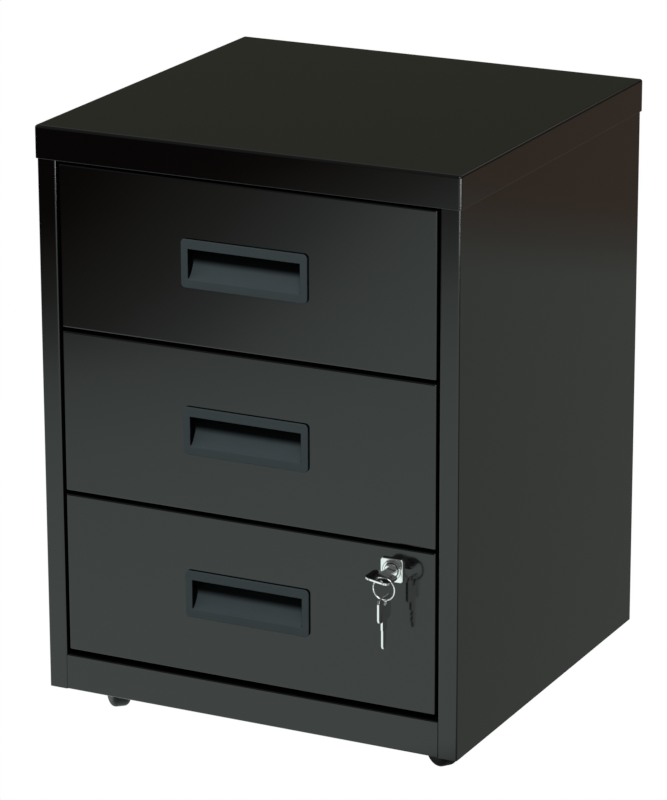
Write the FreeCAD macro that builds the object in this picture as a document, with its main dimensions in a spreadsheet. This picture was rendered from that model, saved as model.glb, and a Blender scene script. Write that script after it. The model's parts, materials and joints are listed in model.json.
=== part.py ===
"""Rolling pedestal cabinet: three drawers in a folded steel carcass on four swivel casters.

Frame: millimetres, +X to the right, the drawer fronts face -Y, +Z up, the floor at z = 0.
The origin lies on the floor under the middle of the whole object, the key included.
"""
import FreeCAD, Part
import math
import os
import Sketcher

DOCUMENT = FreeCAD.newDocument("rolling_pedestal")
NODES = []

DRIVING_SIZES = {
    # carcass
    "carcass_width": 400,
    "carcass_depth": 384,
    "carcass_height": 515,
    "ground_clearance": 20,
    "sheet": 0.8,
    "bend": 0.7,
    "front_flange": 18,
    "front_lip": 12,
    "rear_flange": 15,
    "plinth_height": 33.3,
    "plinth_lip": 5,
    "plinth_return": 20,
    "side_top_gap": 1.5,
    # lid
    "lid_sheet": 1,
    "lid_skirt": 29.5,
    "lid_overhang": 1.5,
    "lid_corner": 2.5,
    "top_rail_height": 25.8,
    "top_rail_depth": 26,
    "top_rail_lip": 13,
    # base and uprights
    "base_flange": 14,
    "upright_crown": 30,
    "upright_flange": 8,
    "upright_front": 40,
    "upright_rear": 24,
    "upright_stand": 1.5,
    # drawers
    "drawer_gap": 3.2,
    "bottom_gap": 4.9,
    "top_gap": 2.8,
    "side_gap": 2.8,
    "front_depth": 24,
    "front_setback": 0.5,
    "tray_inset": 11,
    "tray_rise": 6,
    "tray_drop": 24,
    "tray_rear_gap": 14,
    "tray_back_flange": 12,
    # runners and rollers
    "runner_steel": 1.2,
    "runner_rise": 10,
    "channel_opening": 18,
    "channel_flange": 9,
    "runner_front": 27,
    "runner_rear_gap": 19,
    "roller_window": 27,
    "roller_inset": 13,
    "roller_width": 6,
    "roller_gap": 0.3,
    "roller_axle": 5,
    "roller_side_gap": 0.5,
    "head_gap": 0.15,
    "roller_head": 9,
    "head_thickness": 0.9,
    "cabinet_roller": 20,
    "cabinet_roller_rise": 12.5,
    "drawer_roller_rear": 16.4,
    "drawer_flange": 9.5,
    "drawer_runner_rise": 2,
    "axle_clearance": 0.05,
    # finger pulls
    "pull_width": 120,
    "pull_height": 43,
    "pull_rim_side": 6.5,
    "pull_rim_top": 8.5,
    "pull_rim_bottom": 7.5,
    "pull_stand": 2.4,
    "pull_wall": 1.6,
    "pull_corner": 4,
    "pull_undercut": 5,
    "scoop_depth": 8,
    "scoop_rise": 8.5,
    "scoop_top_depth": 12.4,
    "scoop_radius": 24,
    # lock
    "lock_inset": 40.1,
    "lock_drop": 20.15,
    "lock_square": 21,
    "lock_stand": 2.4,
    "lock_corner": 2.5,
    "lock_edge": 0.8,
    "lock_barrel": 18,
    "lock_length": 18.5,
    "plug_diameter": 12,
    "plug_stand": 1,
    "plug_tail": 7,
    "nut_flats": 24,
    "nut_thickness": 4,
    "cam_length": 48,
    "cam_width": 8,
    "cam_thickness": 2,
    "cam_tip_radius": 2,
    "cam_hub": 14,
    "cam_gap": 0.5,
    "tail_head": 10,
    "tail_head_height": 1,
    "notch_above": 8,
    "notch_play": 1,
    "fit_clearance": 0.1,
    # lock bar
    "bar_inner": 186,
    "bar_width": 12,
    "bar_thickness": 2,
    "bar_front": 27,
    "hook_rise": 36,
    "hook_height": 8,
    "catch_gap": 2.5,
    "catch_height": 10,
    "bar_play": 0.6,
    "guide_height": 15,
    "guide_flange": 1.2,
    "hook_reach": 12.5,
    "catch_reach": 8,
    "bar_tail": 40,
    "tab_reach": 8,
    "tab_inner": 183.8,
    "tab_width": 6.2,
    "tab_drop": 5.5,
    "tab_height": 10,
    # key and ring
    "key_reach": 33,
    "key_tilt": 9,
    "bow_width": 23,
    "bow_length": 22,
    "bow_corner": 4.5,
    "key_thickness": 2,
    "key_hole": 6,
    "key_hole_inset": 5.5,
    "shoulder_width": 9,
    "shoulder_end": 3.3,
    "blade_width": 7.4,
    "blade_length": 17,
    "tooth_pitch": 2.4,
    "tooth_height": 2.9,
    "cut_height": 1.5,
    "tip_width": 2.2,
    "ring_wire": 1.4,
    "ring_radius": 9.9,
    "ring_offset": 6.45,
    "ring_drop": 6.6,
    "slot_clearance": 0.3,
    "slot_depth": 15,
    # casters
    "caster_inset": 42,
    "caster_trail": 16,
    "wheel_diameter": 40,
    "wheel_width": 17,
    "wheel_crown": 5,
    "fork_gap": 1.2,
    "fork_steel": 1.6,
    "fork_crown": 32,
    "fork_arm": 10.7,
    "fork_eye": 6,
    "eye_top": 26,
    "eye_bottom": 14.5,
    "arm_throat": 30,
    "plate_width": 48,
    "plate_steel": 2,
    "plate_hole_pitch": 34,
    "race_diameter": 30,
    "race_depth": 4.4,
    "race_gap": 0.3,
    "kingpin": 8,
    "kingpin_head": 12,
    "kingpin_head_height": 1.2,
    "wheel_axle": 6,
    # fasteners
    "screw_diameter": 5,
    "screw_head": 9,
    "screw_head_height": 2.4,
    "rivet_head": 6.5,
    "rivet_height": 1.2,
    "rivet_shank": 4,
    "rivet_margin": 40,
    "nut_across": 8,
    "nut_height": 3,
}
RIVETS_A_SIDE = 5
KEY_TEETH = 5
DRAWERS = ("bottom", "middle", "top")
SIDES = {"left": -1, "right": 1}
CASTER_HEADINGS = {
    "front_left": (-1, -1, -48),
    "front_right": (1, -1, -36),
    "rear_left": (-1, 1, -42),
    "rear_right": (1, 1, -55),
}


class Size:
    """A length known both as a number and as a formula on the sheet of sizes."""

    def __init__(self, value, formula):
        self.value = float(value)
        self.formula = formula

    def __add__(self, other):
        other = as_size(other)
        return Size(self.value + other.value, f"({self.formula} + {other.formula})")

    def __radd__(self, other):
        return as_size(other) + self

    def __sub__(self, other):
        other = as_size(other)
        return Size(self.value - other.value, f"({self.formula} - {other.formula})")

    def __rsub__(self, other):
        return as_size(other) - self

    def __mul__(self, other):
        other = as_size(other)
        return Size(self.value * other.value, f"({self.formula} * {other.formula})")

    def __rmul__(self, other):
        return as_size(other) * self

    def __truediv__(self, other):
        other = as_size(other)
        return Size(self.value / other.value, f"({self.formula} / {other.formula})")

    def __neg__(self):
        return self * -1


def as_size(number):
    """Turn a plain number into a Size, and leave a Size as it is."""
    if isinstance(number, Size):
        return number
    return Size(number, f"({number})")


def sheet_of_sizes():
    """Write the driving sizes into the document's sheet and return them by name."""
    sheet = DOCUMENT.addObject("Spreadsheet::Sheet", "sizes")
    named = {}
    for row, (name, value) in enumerate(DRIVING_SIZES.items(), start=1):
        sheet.set(f"A{row}", name)
        sheet.set(f"B{row}", str(value))
        sheet.setAlias(f"B{row}", name)
        named[name] = Size(value, f"sizes.{name}")
    DOCUMENT.recompute()
    return named


SIZE = sheet_of_sizes()


def bind(target, path, size):
    """Bind one property of an object to a size."""
    target.setExpression(path, as_size(size).formula)


def new_body(label, several=False):
    """Start a PartDesign body under a node's name."""
    body = DOCUMENT.addObject("PartDesign::Body", label)
    body.Label = label
    body.AllowCompound = several
    return body


def keep(thing):
    """Count a finished sub-part among the nodes that are written."""
    NODES.append(thing)
    return thing


# ---------------------------------------------------------------- outlines

class Polygon:
    """A closed outline of straight runs through its corners."""

    def __init__(self, points):
        self.points = [(as_size(across), as_size(up)) for across, up in points]

    def draw(self, sketch):
        """Draw the outline with every corner pinned by its sizes."""
        first = sketch.GeometryCount
        count = len(self.points)
        for index, (across, up) in enumerate(self.points):
            next_across, next_up = self.points[(index + 1) % count]
            start = FreeCAD.Vector(across.value, up.value, 0)
            end = FreeCAD.Vector(next_across.value, next_up.value, 0)
            sketch.addGeometry(Part.LineSegment(start, end))
        for index, point in enumerate(self.points):
            line = first + index
            following = first + (index + 1) % count
            sketch.addConstraint(Sketcher.Constraint("Coincident", line, 2, following, 1))
            pin(sketch, line, 1, point)


class Disc:
    """A round outline."""

    def __init__(self, across, up, radius):
        self.centre = (as_size(across), as_size(up))
        self.radius = as_size(radius)

    def draw(self, sketch):
        """Draw the circle with its centre and radius held by their sizes."""
        centre = FreeCAD.Vector(self.centre[0].value, self.centre[1].value, 0)
        circle = Part.Circle(centre, FreeCAD.Vector(0, 0, 1), self.radius.value)
        index = sketch.addGeometry(circle)
        radius = Sketcher.Constraint("Radius", index, self.radius.value)
        held = sketch.addConstraint(radius)
        bind(sketch, f"Constraints[{held}]", self.radius)
        pin(sketch, index, 3, self.centre)


def pin(sketch, geometry, end, point):
    """Hold a point of the sketch at its distances from the sketch's origin."""
    for kind, size in zip(("DistanceX", "DistanceY"), point):
        place = Sketcher.Constraint(kind, -1, 1, geometry, end, size.value)
        held = sketch.addConstraint(place)
        bind(sketch, f"Constraints[{held}]", size)


def rectangle(left, right, low, high):
    """Return a rectangle between two pairs of sizes."""
    return Polygon([(left, low), (right, low), (right, high), (left, high)])


def hexagon(across, up, flats):
    """Return a hexagon about a centre, from its size across flats."""
    radius = flats / math.sqrt(3)
    corners = []
    for corner in range(6):
        angle = math.radians(60 * corner)
        corners.append((across + radius * math.cos(angle), up + radius * math.sin(angle)))
    return Polygon(corners)


def strip_outline(path, thickness):
    """Return the outline of a bent sheet whose outer face runs through the path.

    The sheet lies on the left of the path, and the runs are square to each other.
    """
    path = [(as_size(across), as_size(up)) for across, up in path]
    normals = []
    for (across, up), (next_across, next_up) in zip(path, path[1:]):
        run = (next_across.value - across.value, next_up.value - up.value)
        length = math.hypot(*run)
        normals.append((round(-run[1] / length), round(run[0] / length)))
    inner = []
    for index, (across, up) in enumerate(path):
        beside = {normals[max(index - 1, 0)], normals[min(index, len(normals) - 1)]}
        shift_across = sum(normal[0] for normal in beside)
        shift_up = sum(normal[1] for normal in beside)
        inner.append((across + thickness * shift_across, up + thickness * shift_up))
    return path, inner


def mirrored(points, side):
    """Return the points as they are on the right, or mirrored for the left."""
    return [(across * side, up) for across, up in points]


# ---------------------------------------------------------------- features

def sketch_on(body, plane, place, outlines):
    """Draw outlines on one of the body's own planes, moved along its axis."""
    sketch = body.newObject("Sketcher::SketchObject", "outline")
    support = [item for item in body.Origin.OriginFeatures if item.Role == plane][0]
    sketch.AttachmentSupport = [(support, "")]
    sketch.MapMode = "FlatFace"
    offset = -as_size(place) if plane == "XZ_Plane" else place
    bind(sketch, "AttachmentOffset.Base.z", offset)
    for outline in outlines:
        outline.draw(sketch)
    return sketch


def pad(body, plane, start, end, outlines):
    """Pad outlines from one place to another along the plane's axis."""
    sketch = sketch_on(body, plane, start, outlines)
    feature = body.newObject("PartDesign::Pad", "pad")
    feature.Profile = sketch
    bind(feature, "Length", as_size(end) - start)
    feature.Reversed = plane == "XZ_Plane"
    body.Tip = feature
    return feature


def pocket(body, plane, start, end, outlines):
    """Cut outlines away from one place to another along the plane's axis."""
    sketch = sketch_on(body, plane, start, outlines)
    feature = body.newObject("PartDesign::Pocket", "pocket")
    feature.Profile = sketch
    bind(feature, "Length", as_size(end) - start)
    feature.Reversed = plane != "XZ_Plane"
    body.Tip = feature
    return feature


def span(side, near, far):
    """Return the two ends of a stretch along X, in order, for the right or the left."""
    return (near, far) if side > 0 else (-as_size(far), -as_size(near))


def fillet(body, radius, chosen):
    """Round the edges of the body's last feature that the test picks."""
    DOCUMENT.recompute()
    base = body.Tip
    names = []
    for number, edge in enumerate(base.Shape.Edges, start=1):
        if chosen(edge):
            names.append(f"Edge{number}")
    if not names:
        raise RuntimeError(f"{body.Label}: no edge to round")
    feature = body.newObject("PartDesign::Fillet", "fillet")
    feature.Base = (base, names)
    bind(feature, "Radius", radius)
    body.Tip = feature
    return feature


PLANE_AXES = {"XY_Plane": (0, 1, 2), "XZ_Plane": (0, 2, 1), "YZ_Plane": (1, 2, 0)}
TOUCH = 0.001


def at_corners(plane, corners):
    """Return a test for straight edges that run along a plane's axis through its corners."""
    first, second, along = PLANE_AXES[plane]

    def chosen(edge):
        ends = [vertex.Point for vertex in edge.Vertexes]
        if len(ends) != 2 or abs((ends[0] - ends[1])[along]) < TOUCH:
            return False
        for across, up in corners:
            gaps = [abs(end[first] - across.value) + abs(end[second] - up.value) for end in ends]
            if max(gaps) < TOUCH:
                return True
        return False

    return chosen


def on_plane(axis, place):
    """Return a test for edges that lie wholly in one plane square to an axis."""
    place = as_size(place).value

    def chosen(edge):
        box = edge.BoundBox
        low = (box.XMin, box.YMin, box.ZMin)[axis]
        high = (box.XMax, box.YMax, box.ZMax)[axis]
        return abs(low - place) < TOUCH and abs(high - place) < TOUCH

    return chosen


def bend_sheet(body, plane, start, end, path, thickness, side=1):
    """Pad a bent sheet along the plane's axis and round its bends."""
    outer, inner = strip_outline(path, thickness)
    outer = mirrored(outer, side)
    inner = mirrored(inner, side)
    pad(body, plane, start, end, [Polygon(outer + inner[::-1])])
    turns = range(1, len(outer) - 1)
    turning = []
    for index in turns:
        before = (outer[index][0].value - outer[index - 1][0].value,
                  outer[index][1].value - outer[index - 1][1].value)
        after = (outer[index + 1][0].value - outer[index][0].value,
                 outer[index + 1][1].value - outer[index][1].value)
        turning.append((before[0] * after[1] - before[1] * after[0]) * side > 0)
    wide = [outer[i] if left else inner[i] for i, left in zip(turns, turning)]
    tight = [inner[i] if left else outer[i] for i, left in zip(turns, turning)]
    fillet(body, SIZE["bend"] + thickness, at_corners(plane, wide))
    fillet(body, SIZE["bend"], at_corners(plane, tight))
    return body


# ---------------------------------------------------------------- shared places

FRONT_REACH = SIZE["key_reach"] - SIZE["key_hole_inset"] + SIZE["bow_width"] / 2
FRONT = -(SIZE["carcass_depth"] + SIZE["lid_overhang"] - FRONT_REACH) / 2
REAR = FRONT + SIZE["carcass_depth"]
BOTTOM = SIZE["ground_clearance"]
LID_TOP = BOTTOM + SIZE["carcass_height"]
LID_UNDERSIDE = LID_TOP - SIZE["lid_sheet"]
SKIRT_END = LID_TOP - SIZE["lid_skirt"]
PLINTH_TOP = BOTTOM + SIZE["plinth_height"]
SIDE_TOP = LID_TOP - SIZE["side_top_gap"]
HALF_WIDTH = SIZE["carcass_width"] / 2
INSIDE = HALF_WIDTH - SIZE["sheet"]
OPENING = HALF_WIDTH - SIZE["front_flange"]
BASE_TOP = PLINTH_TOP - SIZE["sheet"]
BACK_INNER = REAR - SIZE["sheet"] * 2
UPRIGHT_FACE = OPENING + SIZE["upright_stand"]
FRONT_HALF = OPENING - SIZE["side_gap"]
FRONT_SPACE = SKIRT_END - SIZE["top_gap"] - PLINTH_TOP - SIZE["bottom_gap"]
FRONT_HEIGHT = (FRONT_SPACE - SIZE["drawer_gap"] * 2) / 3
FACE = FRONT + SIZE["front_setback"]
FACE_REAR = FACE + SIZE["sheet"]
PAN_REAR = FACE + SIZE["front_depth"]
TRAY_HALF = OPENING - SIZE["tray_inset"]
TRAY_REAR = BACK_INNER - SIZE["tray_rear_gap"]
LOCK_X = FRONT_HALF - SIZE["lock_inset"]


def drawer_bottom(level):
    """Return the height of a drawer front's lower edge, counted from the bottom drawer."""
    return PLINTH_TOP + SIZE["bottom_gap"] + (FRONT_HEIGHT + SIZE["drawer_gap"]) * level


def runner_base(level):
    """Return the height that a drawer's runners are set out from."""
    return drawer_bottom(level) + SIZE["runner_rise"]


LOCK_Z = drawer_bottom(0) + FRONT_HEIGHT - SIZE["lock_drop"]


# ---------------------------------------------------------------- carcass

def make_side_panel(name, side):
    """Fold one side: front lip, front flange, web and rear flange from one sheet."""
    lip_rear = FRONT + SIZE["front_lip"]
    flange_end = HALF_WIDTH - SIZE["rear_flange"]
    path = [(OPENING, lip_rear), (OPENING, FRONT), (HALF_WIDTH, FRONT),
            (HALF_WIDTH, REAR), (flange_end, REAR)]
    body = new_body(f"{name}_side_panel")
    bend_sheet(body, "XY_Plane", BOTTOM, SIDE_TOP, path, SIZE["sheet"], side)
    rivet_holes(body, side)
    return keep(body)


def rivet_places(side):
    """Return the places, across and up, of the pop rivets in one rear flange."""
    across = (HALF_WIDTH - SIZE["rear_flange"] / 2) * side
    low = BOTTOM + SIZE["rivet_margin"]
    step = (SIDE_TOP - SIZE["rivet_margin"] - low) / (RIVETS_A_SIDE - 1)
    return [(across, low + step * number) for number in range(RIVETS_A_SIDE)]


def rivet_holes(body, side):
    """Cut the rivets' holes through the sheets that meet at one rear flange."""
    radius = SIZE["rivet_shank"] / 2
    discs = [Disc(across, up, radius) for across, up in rivet_places(side)]
    pocket(body, "XZ_Plane", BACK_INNER, REAR, discs)


def make_back_rivets():
    """Make the pop rivets that join the back to the sides, as one group."""
    body = new_body("back_rivets", several=True)
    for side in SIDES.values():
        heads = [Disc(across, up, SIZE["rivet_head"] / 2) for across, up in rivet_places(side)]
        shanks = [Disc(across, up, SIZE["rivet_shank"] / 2) for across, up in rivet_places(side)]
        pad(body, "XZ_Plane", REAR, REAR + SIZE["rivet_height"], heads)
        pad(body, "XZ_Plane", BACK_INNER, REAR, shanks)
    return keep(body)


def make_back_panel():
    """Fold the back: a flat sheet inside the rear flanges with a lip at its top."""
    body = new_body("back_panel")
    outer = REAR - SIZE["sheet"]
    top = LID_UNDERSIDE
    half = INSIDE - SIZE["bend"] - SIZE["fit_clearance"]
    path = [(outer, BOTTOM), (outer, top), (outer - SIZE["top_rail_lip"], top)]
    bend_sheet(body, "YZ_Plane", -half, half, path, SIZE["sheet"])
    for side in SIDES.values():
        rivet_holes(body, side)
    lid_holes(body, outer - SIZE["top_rail_lip"] / 2)
    return keep(body)


def lid_screw_places(along):
    """Return the two places, across and along, of the lid screws in one rail."""
    reach = OPENING / 2
    return [(-reach, along), (reach, along)]


def lid_holes(body, along):
    """Cut the clearance holes of the lid screws through a rail's top flange."""
    radius = SIZE["screw_diameter"] / 2 + SIZE["fit_clearance"]
    discs = [Disc(across, place, radius) for across, place in lid_screw_places(along)]
    pocket(body, "XY_Plane", LID_UNDERSIDE - SIZE["sheet"] * 2, LID_UNDERSIDE, discs)


TOP_RAIL_FRONT = FRONT + SIZE["sheet"]
TOP_RAIL_HOLE = TOP_RAIL_FRONT + SIZE["top_rail_depth"] / 2


def make_top_front_rail():
    """Fold the rail that ties the sides together behind the lid's front skirt."""
    body = new_body("top_front_rail")
    low = LID_UNDERSIDE - SIZE["top_rail_height"]
    path = [(TOP_RAIL_FRONT + SIZE["top_rail_depth"], LID_UNDERSIDE),
            (TOP_RAIL_FRONT, LID_UNDERSIDE), (TOP_RAIL_FRONT, low),
            (TOP_RAIL_FRONT + SIZE["top_rail_lip"], low)]
    bend_sheet(body, "YZ_Plane", -OPENING, OPENING, path, SIZE["sheet"])
    lid_holes(body, TOP_RAIL_HOLE)
    return keep(body)


def make_front_plinth_rail():
    """Fold the rail below the drawers, flush between the front flanges."""
    body = new_body("front_plinth_rail")
    path = [(FRONT + SIZE["plinth_return"], PLINTH_TOP), (FRONT, PLINTH_TOP),
            (FRONT, BOTTOM), (FRONT + SIZE["plinth_lip"], BOTTOM)]
    bend_sheet(body, "YZ_Plane", -OPENING, OPENING, path, SIZE["sheet"])
    return keep(body)


def make_base_panel():
    """Fold the floor of the carcass, which carries the casters."""
    body = new_body("base_panel")
    low = BASE_TOP - SIZE["base_flange"]
    path = [(INSIDE, low), (INSIDE, BASE_TOP), (-INSIDE, BASE_TOP), (-INSIDE, low)]
    bend_sheet(body, "XZ_Plane", FRONT + SIZE["front_lip"], BACK_INNER, path, SIZE["sheet"])
    radius = SIZE["screw_diameter"] / 2 + SIZE["fit_clearance"]
    discs = [Disc(across, along, radius) for across, along in caster_screw_places()]
    pocket(body, "XY_Plane", BASE_TOP - SIZE["sheet"] * 2, BASE_TOP, discs)
    return keep(body)


def hat_outline(crown, front, rear, front_flange, rear_flange):
    """Return the folded outline of a hat channel whose flanges lie on the right side panel."""
    steel = SIZE["sheet"]
    wall = INSIDE - steel
    return [(INSIDE, front - front_flange), (INSIDE, front + steel), (crown + steel, front + steel),
            (crown + steel, rear - steel), (INSIDE, rear - steel), (INSIDE, rear + rear_flange),
            (wall, rear + rear_flange), (wall, rear), (crown, rear), (crown, front),
            (wall, front), (wall, front - front_flange)]


def make_uprights(name, side):
    """Fold the two hat channels inside one side panel, which hold the runners."""
    body = new_body(f"{name}_uprights", several=True)
    width = SIZE["upright_crown"]
    flange = SIZE["upright_flange"]
    top = LID_UNDERSIDE - SIZE["top_rail_height"]
    for front in (FRONT + SIZE["upright_front"], BACK_INNER - SIZE["upright_rear"] - width):
        corners = hat_outline(UPRIGHT_FACE, front, front + width, flange, flange)
        pad(body, "XY_Plane", BASE_TOP, top, [Polygon(mirrored(corners, side))])
    return keep(body)


def make_top_lid():
    """Press the lid: a shallow pan upside down, with rounded corners."""
    body = new_body("top_lid")
    reach = HALF_WIDTH + SIZE["lid_overhang"]
    front = FRONT - SIZE["lid_overhang"]
    rear = REAR + SIZE["lid_overhang"]
    pad(body, "XY_Plane", SKIRT_END, LID_TOP, [rectangle(-reach, reach, front, rear)])
    skin = SIZE["lid_sheet"]
    inside = rectangle(-(reach - skin), reach - skin, front + skin, rear - skin)
    pocket(body, "XY_Plane", SKIRT_END, LID_UNDERSIDE, [inside])
    inner = at_corners("XY_Plane", inside.points)
    ceiling = on_plane(2, LID_UNDERSIDE)
    fillet(body, SIZE["lid_corner"] - skin, lambda edge: inner(edge) or ceiling(edge))
    corners = [(across, along) for across in (-reach, reach) for along in (front, rear)]
    upright = at_corners("XY_Plane", corners)
    top = on_plane(2, LID_TOP)
    fillet(body, SIZE["lid_corner"], lambda edge: upright(edge) or top(edge))
    return keep(body)


def make_lid_screws():
    """Make the screws that hold the lid down through the two rails' top flanges."""
    body = new_body("lid_screws", several=True)
    seat = LID_UNDERSIDE - SIZE["sheet"]
    rear_row = REAR - SIZE["sheet"] - SIZE["top_rail_lip"] / 2
    for along in (TOP_RAIL_HOLE, rear_row):
        places = lid_screw_places(along)
        heads = [Disc(across, place, SIZE["screw_head"] / 2) for across, place in places]
        shanks = [Disc(across, place, SIZE["screw_diameter"] / 2) for across, place in places]
        pad(body, "XY_Plane", seat - SIZE["screw_head_height"], seat, heads)
        pad(body, "XY_Plane", seat, LID_UNDERSIDE, shanks)
    return keep(body)


# ---------------------------------------------------------------- runners and rollers

ROLLER_NEAR = UPRIGHT_FACE - SIZE["channel_flange"] + SIZE["roller_side_gap"]
ROLLER_FAR = ROLLER_NEAR + SIZE["roller_width"]
CHANNEL_FRONT = FRONT + SIZE["runner_front"]
CABINET_ROLLER_Y = CHANNEL_FRONT + SIZE["roller_inset"]
DRAWER_ROLLER_Y = TRAY_REAR - SIZE["drawer_roller_rear"]


def cabinet_roller_height(level):
    """Return the height of the cabinet rollers' axis."""
    return runner_base(level) + SIZE["cabinet_roller_rise"]


def drawer_roller_height(level):
    """Return the height of the drawer rollers' axis, midway in the channel."""
    return runner_base(level) + SIZE["runner_steel"] + SIZE["channel_opening"] / 2


def make_cabinet_runner(level, name, side):
    """Bend the channel on the uprights, with its roller's window and riveted axle."""
    body = new_body(f"{DRAWERS[level]}_{name}_cabinet_runner")
    steel = SIZE["runner_steel"]
    low = runner_base(level)
    high = low + SIZE["channel_opening"] + steel * 2
    end = UPRIGHT_FACE - SIZE["channel_flange"]
    rear = BACK_INNER - SIZE["runner_rear_gap"]
    path = [(end, low), (UPRIGHT_FACE, low), (UPRIGHT_FACE, high), (end, high)]
    bend_sheet(body, "XZ_Plane", CHANNEL_FRONT, rear, path, steel, side)
    window_side = UPRIGHT_FACE - steel - SIZE["bend"]
    window = [(end, high - steel), (window_side, high - steel), (window_side, high), (end, high)]
    pocket(body, "XZ_Plane", CHANNEL_FRONT, CHANNEL_FRONT + SIZE["roller_window"],
           [Polygon(mirrored(window, side))])
    height = cabinet_roller_height(level)
    shoulder = ROLLER_NEAR - SIZE["head_gap"]
    add_axle(body, side, (shoulder, UPRIGHT_FACE - steel),
             (shoulder - SIZE["head_thickness"], shoulder), (CABINET_ROLLER_Y, height))
    return keep(body)


def make_drawer_runner(level, name, side):
    """Bend the angle on the tray's side, with the axle of its roller at the rear."""
    body = new_body(f"{DRAWERS[level]}_{name}_drawer_runner")
    steel = SIZE["runner_steel"]
    ride = cabinet_roller_height(level) + SIZE["cabinet_roller"] / 2 + SIZE["roller_gap"]
    high = ride + steel
    low = runner_base(level) + SIZE["drawer_runner_rise"]
    end = TRAY_HALF + SIZE["drawer_flange"]
    path = [(end, high), (TRAY_HALF, high), (TRAY_HALF, low)]
    bend_sheet(body, "XZ_Plane", PAN_REAR, TRAY_REAR, path, steel, side)
    shoulder = ROLLER_FAR + SIZE["head_gap"]
    add_axle(body, side, (TRAY_HALF + steel, shoulder),
             (shoulder, shoulder + SIZE["head_thickness"]),
             (DRAWER_ROLLER_Y, drawer_roller_height(level)))
    return keep(body)


def add_axle(body, side, shank, head, centre):
    """Rivet a roller's axle to a runner."""
    along, up = centre
    pad(body, "YZ_Plane", *span(side, *shank), [Disc(along, up, SIZE["roller_axle"] / 2)])
    pad(body, "YZ_Plane", *span(side, *head), [Disc(along, up, SIZE["roller_head"] / 2)])


def make_roller_pair(label, centre, radius):
    """Mould the left and right rollers that turn on one axis."""
    body = new_body(label, several=True)
    bore = SIZE["roller_axle"] / 2 + SIZE["axle_clearance"]
    for side in SIDES.values():
        near, far = span(side, ROLLER_NEAR, ROLLER_FAR)
        pad(body, "YZ_Plane", near, far, [Disc(*centre, radius), Disc(*centre, bore)])
    return keep(body)


def make_runners(level):
    """Make everything that one drawer runs on."""
    for name, side in SIDES.items():
        make_cabinet_runner(level, name, side)
        make_drawer_runner(level, name, side)
    make_roller_pair(f"{DRAWERS[level]}_cabinet_rollers",
                     (CABINET_ROLLER_Y, cabinet_roller_height(level)),
                     SIZE["cabinet_roller"] / 2)
    make_roller_pair(f"{DRAWERS[level]}_drawer_rollers",
                     (DRAWER_ROLLER_Y, drawer_roller_height(level)),
                     SIZE["channel_opening"] / 2 - SIZE["roller_gap"])


# ---------------------------------------------------------------- drawers

def pull_places(level):
    """Return the edges of a finger pull: its rim, its opening and its moulded box."""
    middle = drawer_bottom(level) + FRONT_HEIGHT / 2
    low = middle - SIZE["pull_height"] / 2
    high = middle + SIZE["pull_height"] / 2
    half = SIZE["pull_width"] / 2
    opening_half = half - SIZE["pull_rim_side"]
    opening_low = low + SIZE["pull_rim_bottom"]
    opening_high = high - SIZE["pull_rim_top"]
    wall = SIZE["pull_wall"]
    return {
        "rim": (half, low, high),
        "opening": (opening_half, opening_low, opening_high),
        "box": (opening_half + wall, opening_low - wall,
                opening_high + SIZE["pull_undercut"] + wall),
    }


def make_drawer_front(level):
    """Fold the drawer's front: a shallow pan with the holes for its pull and lock."""
    body = new_body(f"{DRAWERS[level]}_drawer_front")
    low = drawer_bottom(level)
    high = low + FRONT_HEIGHT
    steel = SIZE["sheet"]
    pad(body, "XZ_Plane", FACE, PAN_REAR, [rectangle(-FRONT_HALF, FRONT_HALF, low, high)])
    corners = [(across, up) for across in (-FRONT_HALF, FRONT_HALF) for up in (low, high)]
    upright = at_corners("XZ_Plane", corners)
    face = on_plane(1, FACE)
    fillet(body, SIZE["bend"] + steel, lambda edge: upright(edge) or face(edge))
    inner = rectangle(-(FRONT_HALF - steel), FRONT_HALF - steel, low + steel, high - steel)
    pocket(body, "XZ_Plane", FACE_REAR, PAN_REAR, [inner])
    half, box_low, box_high = pull_places(level)["box"]
    gap = SIZE["fit_clearance"]
    cutout = rectangle(-(half + gap), half + gap, box_low - gap, box_high + gap)
    pocket(body, "XZ_Plane", FACE, FACE_REAR, [cutout])
    if level == 0:
        barrel = SIZE["lock_barrel"] / 2 + gap
        pocket(body, "XZ_Plane", FACE, FACE_REAR, [Disc(LOCK_X, LOCK_Z, barrel)])
        notch = rectangle(CAM_FRONT - SIZE["notch_play"], PAN_REAR,
                          LOCK_Z - SIZE["cam_length"] + SIZE["cam_width"],
                          LOCK_Z + SIZE["notch_above"])
        pocket(body, "YZ_Plane", FRONT_HALF - steel, FRONT_HALF, [notch])
    return keep(body)


CAM_FRONT = FACE + SIZE["lock_length"] + SIZE["cam_gap"]


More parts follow.
